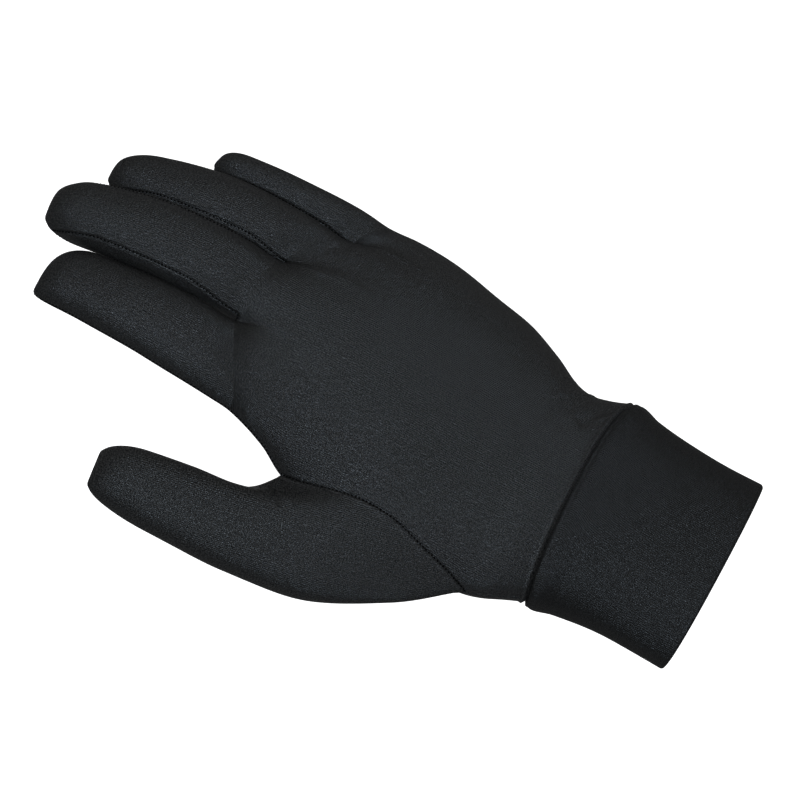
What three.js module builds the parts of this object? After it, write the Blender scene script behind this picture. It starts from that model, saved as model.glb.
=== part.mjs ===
// A thin knitted glove liner for the right hand, open and full as it is when worn.
// Its pieces are a back panel, a palm panel, three strips between the fingers, a set-in thumb and
// a folded cuff. Millimetres, +Z up. The origin is the centre of the cuff's open end. The fingers
// point along -X, the thumb lies towards -Y and the back of the hand faces +Z.
import * as THREE from "three";

// Cloth
const WALL = 1.2;
const CUFF_WALL = 2.2;
const SEAM_GAP = 0.3;

// Cuff and wrist
const CUFF_LENGTH = 51;
const WRIST_WIDTH = 80;
const WRIST_DEPTH = 38;
// The seam between cuff and hand runs this much further forward on the back than at the edges, and
// turns back towards the opening at the ulnar edge. The open end is cut askew by END_SKEW each way.
const WRIST_BOW = 4.5;
const WRIST_TURN = 3.5;
const END_SKEW = 0.9;

// Hand, from the cuff seam to the crotch between index and middle finger
const PALM_LENGTH = 127;
const PALM_DEPTH = 31;
const CROTCH_GAP = 1;

// Index, middle, ring and little finger, from the radial to the ulnar side. length and width are
// shares of FINGER_LENGTH and FINGER_WIDTH, depth and lift of FINGER_DEPTH. Angles are in degrees:
// splay turns a finger towards the little finger's side, rise points its root up, curl bends it down
// over its length and roll lets its ulnar side hang. lift moves the root up. swell widens the ulnar
// side and lean moves the end of the tip to the radial side, as shares of half the width there.
// radialSeam and ulnarSeam are the angles from the finger's side lines up to its seams on the back.
const FINGER_LENGTH = 75;
const FINGER_WIDTH = 25;
const FINGER_DEPTH = 20;
const FINGER_SIZES = [
  { length: 0.922, width: 1.072, depth: 1, swell: 0.05, lean: 0.4 },
  { length: 0.98, width: 0.968, depth: 1.06, swell: 0.32, lean: 0 },
  { length: 0.985, width: 0.79, depth: 0.925, swell: 0.38, lean: 0 },
  { length: 0.787, width: 0.58, depth: 0.81, swell: -0.1, lean: 0 },
];
const FINGER_POSES = [
  { splay: 3.5, rise: 2, curl: 24, roll: -8, lift: 0.09, radialSeam: 0, ulnarSeam: 10 },
  { splay: -2.8, rise: 5, curl: 27, roll: -7, lift: -0.06, radialSeam: 38, ulnarSeam: 30 },
  { splay: -1.2, rise: 3, curl: 28, roll: 4, lift: -0.025, radialSeam: 38, ulnarSeam: 12 },
  { splay: 4, rise: 0, curl: 20, roll: 18, lift: 0.025, radialSeam: 16, ulnarSeam: 0 },
];
const FINGERS = FINGER_SIZES.map((finger, i) => ({
  ...finger,
  ...FINGER_POSES[i],
  length: finger.length * FINGER_LENGTH,
  width: finger.width * FINGER_WIDTH,
  depth: finger.depth * FINGER_DEPTH,
  lift: FINGER_POSES[i].lift * FINGER_DEPTH,
}));

// Thumb, from its crotch to its tip
const THUMB_LENGTH = 56;
const THUMB_DEPTH = 22;
const THUMB_TIP_WIDTH = 0.48;

// Angle from a finger's side lines down to its seams on the palm side
const PALM_SEAM = 38;

// How square a section is: 2 is an ellipse
const PALM_FULLNESS = 2.3;
const FINGER_FULLNESS = 2.25;

// The wrist's sizes give way to the hand's over this share of PALM_LENGTH
const WRIST_BLEND = 0.35;

// Sections of the hand. at is a share of PALM_LENGTH. radial and ulnar reach from the axis to the
// edges, as shares of half the width there. back and palm are heights, lift moves the section up and
// arch lets both edges hang, all as shares of half the depth there.
const PALM_SECTIONS = [
  { at: 0.0, radial: 1.0, ulnar: 0.99, back: 1.0, palm: 1.0, lift: 0.0, arch: 0.0 },
  { at: 0.05, radial: 1.07, ulnar: 0.92, back: 0.98, palm: 1.0, lift: 0.02, arch: 0.03 },
  { at: 0.1, radial: 1.13, ulnar: 0.88, back: 0.98, palm: 1.0, lift: 0.05, arch: 0.1 },
  { at: 0.15, radial: 1.15, ulnar: 0.91, back: 0.98, palm: 1.02, lift: 0.08, arch: 0.18 },
  { at: 0.22, radial: 1.13, ulnar: 1.02, back: 0.98, palm: 1.04, lift: 0.14, arch: 0.28 },
  { at: 0.32, radial: 1.13, ulnar: 1.13, back: 0.98, palm: 1.02, lift: 0.22, arch: 0.4 },
  { at: 0.44, radial: 1.1, ulnar: 1.21, back: 0.96, palm: 1.0, lift: 0.3, arch: 0.52 },
  { at: 0.58, radial: 1.03, ulnar: 1.3, back: 0.92, palm: 0.94, lift: 0.36, arch: 0.66 },
  { at: 0.7, radial: 0.94, ulnar: 1.32, back: 0.88, palm: 0.88, lift: 0.39, arch: 0.8 },
  { at: 0.78, radial: 0.82, ulnar: 1.31, back: 0.82, palm: 0.82, lift: 0.4, arch: 0.86 },
  { at: 0.88, radial: 0.75, ulnar: 1.28, back: 0.72, palm: 0.72, lift: 0.41, arch: 0.92 },
  { at: 1.0, radial: 0.73, ulnar: 1.27, back: 0.62, palm: 0.62, lift: 0.41, arch: 0.95 },
];

// The line of the finger roots. across is a share of the hand's width from the radial edge and
// at is a share of PALM_LENGTH.
const ROOT_LINE = [
  { across: 0.0, at: 0.9 },
  { across: 0.3, at: 1.0 },
  { across: 0.59, at: 0.97 },
  { across: 0.82, at: 0.85 },
  { across: 1.0, at: 0.76 },
];

// Width, depth and swell along a finger, as shares of its own, before its tip is rounded
const FINGER_TAPER = [
  { at: 0.0, width: 1.0, depth: 1.0, swell: 0.0 },
  { at: 0.25, width: 0.95, depth: 0.96, swell: 0.75 },
  { at: 0.55, width: 0.88, depth: 0.92, swell: 1.0 },
  { at: 0.8, width: 0.82, depth: 0.84, swell: 0.65 },
  { at: 1.0, width: 0.78, depth: 0.78, swell: 0.0 },
];
// The tip rounds off over the last share of a finger's length, to a line of TIP_WIDTH of its width
const TIP_SHARE = 0.19;
const TIP_WIDTH = 0.36;
const TIP_FULLNESS = 2.3;
// The strips between the fingers start at this share of their width, are full a little further on
// and narrow towards a point, which lies at STRIP_END of the length
const STRIP_START = 0.5;
const STRIP_FULL = 0.3;
const STRIP_END = 0.9;
const STRIP_POINT = 0.31;

// Where one shape passes into the next: from the share KNUCKLES of the hand on it takes up the
// fingers' roots, by a power that is higher in the valleys between them, and a finger and the thumb
// lose their root's shape over these shares of their length
const KNUCKLES = 0.62;
const KNUCKLE_POWER = 2;
const VALLEY_POWER = 5;
const ROOT_FADE = 0.34;
const THUMB_FADE = 0.5;

// The thumb hole lies between these shares of the radial edge, from the cuff seam to the finger roots
const THUMB_HOLE = { from: 0.165, to: 0.775, back: 33, palm: 42 };

// The thumb's two side lines, from its crotch: along runs to the tip and out away from the hand,
// both as shares of THUMB_LENGTH. drop is downwards and depth is the section's, as shares of
// THUMB_DEPTH.
const THUMB_SECTIONS = [
  { at: 0.0, innerAlong: 0.0, innerOut: 0.0, outerAlong: -1.28, outerOut: 0.03, drop: 0.1, depth: 1.0 },
  { at: 0.2, innerAlong: 0.11, innerOut: 0.13, outerAlong: -0.93, outerOut: 0.32, drop: 0.15, depth: 1.1 },
  { at: 0.4, innerAlong: 0.26, innerOut: 0.19, outerAlong: -0.48, outerOut: 0.57, drop: 0.2, depth: 1.1 },
  { at: 0.6, innerAlong: 0.48, innerOut: 0.2, outerAlong: 0.04, outerOut: 0.65, drop: 0.27, depth: 1.0 },
  { at: 0.8, innerAlong: 0.74, innerOut: 0.235, outerAlong: 0.52, outerOut: 0.655, drop: 0.34, depth: 0.92 },
  { at: 1.0, innerAlong: 1.0, innerOut: 0.28, outerAlong: 0.95, outerOut: 0.66, drop: 0.4, depth: 0.84 },
];

// Cuff sections. at is a share of CUFF_LENGTH from the seam, width and depth are shares of the wrist's.
const CUFF_SECTIONS = [
  { at: 0.0, width: 1.0, depth: 1.0 },
  { at: 0.06, width: 1.03, depth: 1.03 },
  { at: 0.2, width: 0.98, depth: 0.99 },
  { at: 0.55, width: 0.93, depth: 0.95 },
  { at: 1.0, width: 0.935, depth: 0.95 },
];

// Steps of the mesh
const PALM_ROWS = { before: 5, hole: 8, after: 4 };
const FINGER_ROWS = 7;
const TIP_ROWS = 4;
const STRIP_CELLS = 3;
const OUTER_FINGER_CELLS = 6;
const INNER_FINGER_CELLS = 5;
const THUMB_ROWS = 8;
const CUFF_ROWS = 6;

const DEG = Math.PI / 180;
const lerp = (a, b, t) => a + (b - a) * t;
const clamp01 = (t) => Math.min(1, Math.max(0, t));
const smooth = (t) => clamp01(t) ** 2 * (3 - 2 * clamp01(t));
const power = (value, exponent) => Math.sign(value) * Math.abs(value) ** exponent;

// A smooth curve through the rows of a table: cubic between rows, with the slope at a row taken
// from its neighbours.
function curve(rows, column, key = "at") {
  const slope = (i) => {
    const a = rows[Math.max(0, i - 1)];
    const b = rows[Math.min(rows.length - 1, i + 1)];
    return (b[column] - a[column]) / (b[key] - a[key]);
  };
  return (t) => {
    const u = Math.min(rows[rows.length - 1][key], Math.max(rows[0][key], t));
    let i = 0;
    while (i < rows.length - 2 && u > rows[i + 1][key]) i += 1;
    const span = rows[i + 1][key] - rows[i][key];
    const s = (u - rows[i][key]) / span;
    const [s2, s3] = [s * s, s * s * s];
    return (
      (2 * s3 - 3 * s2 + 1) * rows[i][column] +
      (s3 - 2 * s2 + s) * span * slope(i) +
      (3 * s2 - 2 * s3) * rows[i + 1][column] +
      (s3 - s2) * span * slope(i + 1)
    );
  };
}

const curves = (rows, columns, key) =>
  Object.fromEntries(columns.map((column) => [column, curve(rows, column, key)]));

const palmCurve = curves(PALM_SECTIONS, ["radial", "ulnar", "back", "palm", "lift", "arch"]);
const rootCurve = curve(ROOT_LINE, "at", "across");
const taper = curves(FINGER_TAPER, ["width", "depth", "swell"]);
const cuffCurve = curves(CUFF_SECTIONS, ["width", "depth"]);
const thumbCurve = curves(THUMB_SECTIONS, [
  "innerAlong",
  "innerOut",
  "outerAlong",
  "outerOut",
  "drop",
  "depth",
]);

const handWidth =
  FINGERS.reduce((sum, finger) => sum + finger.width, 0) + CROTCH_GAP * (FINGERS.length - 1);

// The hand's section at x: an oval whose middle line hangs at both edges.
function palmSection(x) {
  const at = (-x - CUFF_LENGTH) / PALM_LENGTH;
  const open = smooth(at / WRIST_BLEND);
  const halfWidth = lerp(WRIST_WIDTH, handWidth, open) / 2;
  const halfDepth = lerp(WRIST_DEPTH, PALM_DEPTH, open) / 2;
  const radial = -palmCurve.radial(at) * halfWidth;
  const ulnar = palmCurve.ulnar(at) * halfWidth;
  return { at, centre: (radial + ulnar) / 2, half: (ulnar - radial) / 2, halfDepth };
}

// A point of the hand at x. The angle is 0 on the ulnar edge, 90 on the back and 180 on the radial edge.
function palmPoint(x, degrees) {
  const { at, centre, half, halfDepth } = palmSection(x);
  const across = power(Math.cos(degrees * DEG), 2 / PALM_FULLNESS);
  const up = power(Math.sin(degrees * DEG), 2 / PALM_FULLNESS);
  const height = up > 0 ? palmCurve.back(at) : palmCurve.palm(at);
  const middle = palmCurve.lift(at) - palmCurve.arch(at) * across * across;
  return new THREE.Vector3(x, centre + half * across, halfDepth * (middle + up * height));
}

const rootX = (across) => -(CUFF_LENGTH + PALM_LENGTH * rootCurve(across));

// Places the finger roots side by side on the hand's width, each on the middle line of its section there.
const radialEdge = -PALM_SECTIONS[PALM_SECTIONS.length - 1].radial * (handWidth / 2);
let edge = 0;
for (const finger of FINGERS) {
  const across = (edge + finger.width / 2) / handWidth;
  const x = rootX(across);
  const y = radialEdge + edge + finger.width / 2;
  const { at, centre, half, halfDepth } = palmSection(x);
  const place = (y - centre) / half;
  const z = halfDepth * (palmCurve.lift(at) - palmCurve.arch(at) * place * place);
  finger.root = new THREE.Vector3(x, y, z + finger.lift);
  finger.from = edge / handWidth;
  finger.to = (edge + finger.width) / handWidth;
  edge += finger.width + CROTCH_GAP;
}

// How much of a finger's or the thumb's section is left at t, as its tip rounds off.
function tipRound(t) {
  const end = clamp01((t - 1 + TIP_SHARE) / TIP_SHARE);
  return (1 - end ** TIP_FULLNESS) ** (1 / TIP_FULLNESS);
}

// A point of a finger: a rounded section carried along an arc that bends down. The tip closes to
// a short line.
function fingerPoint(finger, t, degrees) {
  const [rise, curl] = [finger.rise * DEG, finger.curl * DEG];
  const [splay, roll] = [finger.splay * DEG, finger.roll * DEG];
  const pitch = rise - curl * t;
  const forward = (finger.length * (Math.sin(rise) - Math.sin(pitch))) / curl;
  const height = (finger.length * (Math.cos(pitch) - Math.cos(rise))) / curl;
  const heading = new THREE.Vector3(-Math.cos(splay), Math.sin(splay), 0);
  const level = new THREE.Vector3(Math.sin(splay), Math.cos(splay), 0);
  const over = heading.clone().multiplyScalar(-Math.sin(pitch));
  over.z = Math.cos(pitch);
  const side = level.clone().multiplyScalar(Math.cos(roll)).addScaledVector(over, -Math.sin(roll));
  const up = over.clone().multiplyScalar(Math.cos(roll)).addScaledVector(level, Math.sin(roll));
  const round = tipRound(t);
  const halfWidth = (finger.width / 2) * taper.width(t) * lerp(TIP_WIDTH, 1, round);
  const halfDepth = (finger.depth / 2) * taper.depth(t) * round;
  const across = power(Math.cos(degrees * DEG), 2 / FINGER_FULLNESS);
  const swell = across > 0 ? finger.swell * taper.swell(t) : 0;
  const lean = (finger.lean * finger.width * (1 - round)) / 2;
  return finger.root
    .clone()
    .addScaledVector(heading, forward)
    .add(new THREE.Vector3(0, 0, height))
    .addScaledVector(side, halfWidth * across * (1 + swell) - lean)
    .addScaledVector(up, halfDepth * power(Math.sin(degrees * DEG), 2 / FINGER_FULLNESS));
}

// Stations along a finger: even steps, then closer ones round the tip.
const steps = (count, from, to) => Array.from({ length: count }, (_, i) => lerp(from, to, i / count));
const tipStations = [...steps(TIP_ROWS, 0, 1), 1].map(
  (share) => 1 - TIP_SHARE * (1 - Math.sin(share * 90 * DEG)),
);
const fingerStations = [...steps(FINGER_ROWS, 0, 1 - TIP_SHARE), ...tipStations];
const thumbStations = [...steps(THUMB_ROWS, 0, 1 - TIP_SHARE), ...tipStations];
const stripRows = fingerStations.filter((t) => t < STRIP_END).length;

// How much of a strip's width there is at a row: it shrinks to nothing where the strip ends.
function stripShare(row) {
  const left = (stripRows - row) / stripRows;
  const opened = lerp(STRIP_START, 1, smooth(fingerStations[row] / STRIP_FULL));
  return opened * clamp01(left / STRIP_POINT) ** 0.7;
}

// Angle from a finger's side line to a seam, on the back (side 1) or the palm side (side -1).
function seamAngle(backSeam, side, row) {
  return (side > 0 ? backSeam : PALM_SEAM) * stripShare(row);
}

// One ring of root points belongs to both the hand and the finger. Each side fades the other's shape out.
function rootPoint(finger, degrees) {
  const point = fingerPoint(finger, 0, degrees);
  const across = (point.y - radialEdge) / handWidth;
  point.x = rootX(clamp01(across));
  return point;
}

function fingerSkin(finger, t, degrees) {
  const point = fingerPoint(finger, t, degrees);
  const change = rootPoint(finger, degrees).sub(fingerPoint(finger, 0, degrees));
  return point.addScaledVector(change, 1 - smooth(t / ROOT_FADE));
}

// Columns of the hand, from the radial to the ulnar edge, over the back (side 1) or under the palm (side -1).
function handColumns(side) {
  const columns = [];
  FINGERS.forEach((finger, i) => {
    const first = i === 0;
    const last = i === FINGERS.length - 1;
    const cells = first || last ? OUTER_FINGER_CELLS : INNER_FINGER_CELLS;
    for (let c = 0; c <= cells; c += 1) columns.push({ finger, first, last, share: c / cells, side });
  });
  return columns;
}

function columnAngle(column, row) {
  const { finger, first, last, side, share } = column;
  const from = first ? 180 : 180 - seamAngle(finger.radialSeam, side, row);
  const to = last ? 0 : seamAngle(finger.ulnarSeam, side, row);
  return side * lerp(from, to, share);
}

const palmStations = [
  ...steps(PALM_ROWS.before, 0, THUMB_HOLE.from),
  ...steps(PALM_ROWS.hole, THUMB_HOLE.from, THUMB_HOLE.to),
  ...steps(PALM_ROWS.after, THUMB_HOLE.to, 1),
  1,
];
const holeEnd = PALM_ROWS.before + PALM_ROWS.hole;

// How far the thumb hole opens from the radial edge, in degrees of the hand's section.
function holeAngle(share, side) {
  const along = clamp01((share - THUMB_HOLE.from) / (THUMB_HOLE.to - THUMB_HOLE.from));
  return (side > 0 ? THUMB_HOLE.back : THUMB_HOLE.palm) * Math.sin(Math.PI * along) ** 0.75;
}

// One in the valley between two fingers, falling to nothing at the middle of a finger.
function valley({ first, last, share }) {
  const fromMiddle = 2 * share - 1;
  const beside = (first && fromMiddle < 0) || (last && fromMiddle > 0);
  return beside ? 0 : fromMiddle ** 2;
}

function palmSkin(column, share) {
  const { finger, side } = column;
  const degrees = columnAngle(column, 0);
  const onFinger = (1 + power(Math.cos(degrees * DEG), 2 / FINGER_FULLNESS)) / 2;
  const place = 2 * lerp(finger.from, finger.to, onFinger) - 1;
  const edgeAngle = Math.acos(power(place, PALM_FULLNESS / 2)) / DEG;
  const angle = (edgeAngle / 180) * (180 - holeAngle(share, side));
  const root = rootPoint(finger, degrees);
  const bow = side > 0 ? WRIST_BOW * Math.sin(edgeAngle * DEG) : 0;
  const turn = WRIST_TURN * Math.max(0, place) ** 4;
  const point = palmPoint(lerp(turn - bow - CUFF_LENGTH, root.x, share), side * angle);
  const change = root.clone().sub(palmPoint(root.x, side * edgeAngle));
  const sharpness = lerp(KNUCKLE_POWER, VALLEY_POWER, valley(column));
  return point.addScaledVector(change, clamp01((share - KNUCKLES) / (1 - KNUCKLES)) ** sharpness);
}

// The thumb grows out of its hole. Its rings turn from lying along the hand to standing across the thumb.
const radialColumns = { 1: handColumns(1)[0], "-1": handColumns(-1)[0] };
const holePoint = (row, side) => palmSkin(radialColumns[side], palmStations[row]);
const crotch = holePoint(holeEnd, 1);

function thumbSection(t, degrees) {
  const along = (name) => thumbCurve[name](t) * THUMB_LENGTH;
  const z = crotch.z - thumbCurve.drop(t) * THUMB_DEPTH;
  const inner = new THREE.Vector3(crotch.x - along("innerAlong"), crotch.y - along("innerOut"), z);
  const outer = new THREE.Vector3(crotch.x - along("outerAlong"), crotch.y - along("outerOut"), z);
  const middle = inner.clone().add(outer).multiplyScalar(0.5);
  const round = tipRound(t);
  const half = inner.clone().sub(middle).multiplyScalar(lerp(THUMB_TIP_WIDTH, 1, round));
  const halfDepth = (THUMB_DEPTH / 2) * thumbCurve.depth(t) * round;
  middle.addScaledVector(half, power(Math.cos(degrees * DEG), 2 / FINGER_FULLNESS));
  middle.z += halfDepth * power(Math.sin(degrees * DEG), 2 / FINGER_FULLNESS);
  return middle;
}

function thumbPoint(t, place) {
  const side = place <= PALM_ROWS.hole ? 1 : -1;
  const row = side > 0 ? holeEnd - place : holeEnd - (2 * PALM_ROWS.hole - place);
  const degrees = (place / PALM_ROWS.hole) * 180;
  const change = holePoint(row, side).sub(thumbSection(0, degrees));
  return thumbSection(t, degrees).addScaledVector(change, 1 - smooth(t / THUMB_FADE));
}

function cuffPoint(t, column) {
  const seam = palmSkin(column, 0);
  const skew = (END_SKEW * seam.y) / (WRIST_WIDTH / 2);
  return new THREE.Vector3(
    seam.x * (1 - t) + skew * t,
    seam.y * cuffCurve.width(t),
    seam.z * cuffCurve.depth(t),
  );
}

// The whole skin is one pool of points. Points at one place are one point, so that pieces share their seams.
const points = [];
const found = new Map();
function pointIndex(point) {
  const key = [point.x, point.y, point.z].map((v) => Math.round(v * 1e4)).join(",");
  if (!found.has(key)) {
    found.set(key, points.length);
    points.push(point);
  }
  return found.get(key);
}

// The faces of a grid of points, as triangles that look outwards. A face with two corners at one
// place is left out.
function gridFaces(rows, columns, pointAt, flip = false) {
  const index = Array.from({ length: rows + 1 }, (_, r) =>
    Array.from({ length: columns + 1 }, (_, c) => pointIndex(pointAt(r, c))),
  );
  const faces = [];
  const add = (a, b, c) => {
    if (a !== b && b !== c && c !== a) faces.push(flip ? [a, c, b] : [a, b, c]);
  };
  for (let r = 0; r < rows; r += 1)
    for (let c = 0; c < columns; c += 1) {
      const [a, b] = [index[r][c], index[r][c + 1]];
      const [d, e] = [index[r + 1][c], index[r + 1][c + 1]];
      add(a, b, e);
      add(a, e, d);
    }
  return faces;
}

// The back or the palm: the hand's grid, then a grid for each finger.
function panelFaces(side) {
  const columns = handColumns(side);
  const faces = gridFaces(
    palmStations.length - 1,
    columns.length - 1,
    (r, c) => palmSkin(columns[c], palmStations[r]),
    side < 0,
  );
  FINGERS.forEach((finger) => {
    const own = columns.filter((column) => column.finger === finger);
    faces.push(
      ...gridFaces(
        fingerStations.length - 1,
        own.length - 1,
        (r, c) => fingerSkin(finger, fingerStations[r], columnAngle(own[c], r)),
        side < 0,
      ),
    );
  });
  return faces;
}

// A strip between two fingers: down the side of one to the crotch, across it and up the side of the next.
function stripFaces(before, after) {
  const rows = 2 * stripRows + 1;
  const pointAt = (r, c) => {
    const onBefore = r <= stripRows;
    const row = onBefore ? stripRows - r : r - stripRows - 1;
    const backSeam = onBefore ? before.ulnarSeam : after.radialSeam;
    const angle = lerp(seamAngle(backSeam, 1, row), -seamAngle(backSeam, -1, row), c / STRIP_CELLS);
    const degrees = onBefore ? angle : 180 - angle;
    return fingerSkin(onBefore ? before : after, fingerStations[row], degrees);
  };
  return gridFaces(rows, STRIP_CELLS, pointAt, true);
}

function thumbFaces() {
  const around = 2 * PALM_ROWS.hole;
  const pointAt = (r, c) => thumbPoint(thumbStations[r], c % around);
  return gridFaces(thumbStations.length - 1, around, pointAt, true);
}

function cuffFaces() {
  const ring = [...handColumns(1), ...handColumns(-1).reverse().slice(1)];
  return gridFaces(CUFF_ROWS, ring.length - 1, (r, c) => cuffPoint(r / CUFF_ROWS, ring[c]), true);
}

const skins = {
  back_panel: panelFaces(1),
  palm_panel: panelFaces(-1),
  index_middle_strip: stripFaces(FINGERS[0], FINGERS[1]),
  middle_ring_strip: stripFaces(FINGERS[1], FINGERS[2]),
  ring_little_strip: stripFaces(FINGERS[2], FINGERS[3]),
  thumb: thumbFaces(),
  cuff: cuffFaces(),
};

function faceNormal([a, b, c]) {
  const [p, q, r] = [points[a], points[b], points[c]];
  return q.clone().sub(p).cross(r.clone().sub(p));
}

// Outward direction at each point, from every face that meets there, whichever piece it is in.
const normals = points.map(() => new THREE.Vector3());
for (const faces of Object.values(skins))
  for (const face of faces) {
    const normal = faceNormal(face);
    face.forEach((i) => normals[i].add(normal));
  }
normals.forEach((normal) => normal.normalize());

// Edges that one face of the piece has and no other, in the direction in which that face runs.
function rimEdges(faces) {
  const edges = new Map();
  for (const [a, b, c] of faces)
    for (const [from, to] of [[a, b], [b, c], [c, a]])
      if (!edges.delete(to + "," + from)) edges.set(from + "," + to, [from, to, [a, b, c]]);
  return [...edges.values()];
}

// Gives a skin its wall: the rim is drawn in by half the seam gap, the inner face lies one wall inside.
function clothGeometry(faces, wall) {
  const rim = rimEdges(faces);
  const inward = new Map();
  for (const [from, to, face] of rim) {
    const along = points[to].clone().sub(points[from]).normalize();
    const into = faceNormal(face).normalize().cross(along);
    for (const i of [from, to]) inward.set(i, [...(inward.get(i) ?? []), into]);
  }
  const used = new Map();
  const outer = [];
  for (const face of faces)
    for (const i of face)
      if (!used.has(i)) {
        used.set(i, outer.length);
        const point = points[i].clone();
        const ways = inward.get(i);
        if (ways) {
          const sum = ways.reduce((total, way) => total.add(way), new THREE.Vector3());
          const share = Math.max(0.35, sum.lengthSq() / ways.length ** 2);
          point.addScaledVector(sum, SEAM_GAP / 2 / ways.length / share);
        }
        outer.push({ point, inner: point.clone().addScaledVector(normals[i], -wall) });
      }
  const count = outer.length;
  const position = [...outer.map((o) => o.point), ...outer.map((o) => o.inner)].flatMap((p) => p.toArray());
  const index = [];
  for (const [a, b, c] of faces) {
    const [i, j, k] = [used.get(a), used.get(b), used.get(c)];
    index.push(i, j, k, i + count, k + count, j + count);
  }
  for (const [from, to] of rim) {
    const [i, j] = [used.get(from), used.get(to)];
    if (from < to) index.push(i, i + count, j, j, i + count, j + count);
    else index.push(i, i + count, j + count, i, j + count, j);
  }
  const geometry = new THREE.BufferGeometry();
  geometry.setAttribute("position", new THREE.Float32BufferAttribute(position, 3));
  geometry.setIndex(index);
  geometry.computeVertexNormals();
  return geometry;
}

const knit = { color: 0x26272a, roughness: 0.85, wall: WALL };
const cuffKnit = { color: 0x232426, roughness: 0.88, wall: CUFF_WALL };

const glove = new THREE.Group();
for (const [name, faces] of Object.entries(skins)) {
  const { color, roughness, wall } = name === "cuff" ? cuffKnit : knit;
  const material = new THREE.MeshStandardMaterial({ color, roughness, metalness: 0 });
  const mesh = new THREE.Mesh(clothGeometry(faces, wall), material);
  mesh.name = name;
  glove.add(mesh);
}

export default glove;
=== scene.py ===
import math

import bpy
import numpy as np
from mathutils import Matrix, Vector


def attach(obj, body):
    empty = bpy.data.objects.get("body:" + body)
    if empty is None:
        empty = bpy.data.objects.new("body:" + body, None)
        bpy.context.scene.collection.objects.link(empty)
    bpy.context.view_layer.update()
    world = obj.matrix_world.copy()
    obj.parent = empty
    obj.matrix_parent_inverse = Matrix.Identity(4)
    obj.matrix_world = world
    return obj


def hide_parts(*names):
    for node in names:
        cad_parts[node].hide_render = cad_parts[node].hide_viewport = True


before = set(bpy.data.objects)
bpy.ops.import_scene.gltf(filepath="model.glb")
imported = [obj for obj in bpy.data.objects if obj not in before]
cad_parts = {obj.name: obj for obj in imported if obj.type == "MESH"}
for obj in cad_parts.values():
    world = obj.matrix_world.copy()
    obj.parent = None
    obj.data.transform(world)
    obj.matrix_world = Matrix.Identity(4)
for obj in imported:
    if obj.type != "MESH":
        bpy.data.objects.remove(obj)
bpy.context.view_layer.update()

# A black stretch-knit glove liner for the right hand. Sizes are in millimetres, angles in degrees
# and meshes in metres. The cuff's open end is centred on the origin, the fingers point along -X,
# the little finger lies towards +Y and the back faces +Z.
MM = 0.001

# The cloth, and the cuff, whose folded hem is round over its lip
WALL = 1.2
CUFF_WALL = 2.2
CUFF_LENGTH = 51.0
LIP = 1.3
HEM_SHARE = 0.98

# The wrist seam bows towards the fingers over the back and turns towards the cuff at the ulnar
# edge. The cuff's open end is skewed by END_SKEW at its ulnar edge.
WRIST_WIDTH = 80.0
WRIST_DEPTH = 38.0
WRIST_BOW = 4.5
WRIST_TURN = 3.5
END_SKEW = 0.9

# The hand, whose sections pass from the wrist's sizes into the palm's over WRIST_BLEND of it
PALM_LENGTH = 127.0
PALM_DEPTH = 31.0
PALM_FULLNESS = 2.3
WRIST_BLEND = 0.35

# The fingers, which close over the last TIP_SHARE to a line of TIP_WIDTH of their width
FINGER_LENGTH = 75.0
FINGER_WIDTH = 25.0
FINGER_DEPTH = 20.0
FINGER_FULLNESS = 2.25
TIP_SHARE = 0.19
TIP_WIDTH = 0.36
TIP_FULLNESS = 2.3

# Where the fingers leave the hand. The hand takes up their roots over its last part, later in the
# valleys between two fingers, and each finger takes up its own shape over ROOT_FADE of its length.
# The cloth between two fingers dips towards the wrist by CROTCH_DIP of its width.
CROTCH_GAP = 1.0
CROTCH_DIP = 0.3
KNUCKLES = 0.62
KNUCKLE_POWER, VALLEY_POWER = 2.0, 5.0
SHARP_FROM, VALLEY_BLUR = 0.82, 6.0
ROOT_FADE = 0.34

# The strips between the fingers: their seam's angle on the palm side, and how they open and close
PALM_SEAM = 38.0
STRIP_START, STRIP_FULL = 0.5, 0.3
STRIP_ROUNDNESS = 0.7

# The thumb, and the hole that it is sewn into: where the hole starts and stops along the hand, and
# the angles by which it opens over the back and the palm
THUMB_LENGTH = 56.0
THUMB_DEPTH = 22.0
THUMB_TIP_WIDTH = 0.48
THUMB_FADE = 0.5
HOLE_FROM, HOLE_TO = 0.165, 0.775
HOLE_BACK, HOLE_PALM = 33.0, 42.0
HOLE_ROUNDNESS = 0.75
HOLE_SPREAD = 2.6

# The cloth is relaxed on both sides of the finger roots, over this distance, in so many steps
RELAX_REACH, RELAX_STEPS, RELAX_RATE = 7.0, 50, 0.5

# Folds fade off their ends over FOLD_FADE, and the thumb's folds stop at the height THUMB_SIDE
FOLD_FADE = 2.5
THUMB_SIDE = -12.0

# Lean of the thumb's knit from the glove's length, and how much the knit follows the thumb's sides
THUMB_KNIT_LEAN = 13.0
THUMB_KNIT_DROP = 0.6

# Slow waves of worn cloth, and how much stronger they are on the cuff
WAVE = 0.05
CUFF_WAVE = 1.2


def table(names, *rows):
    """Rows of numbers under named columns."""
    return dict(zip(names.split(), np.array(rows, dtype=float).T))


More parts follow.
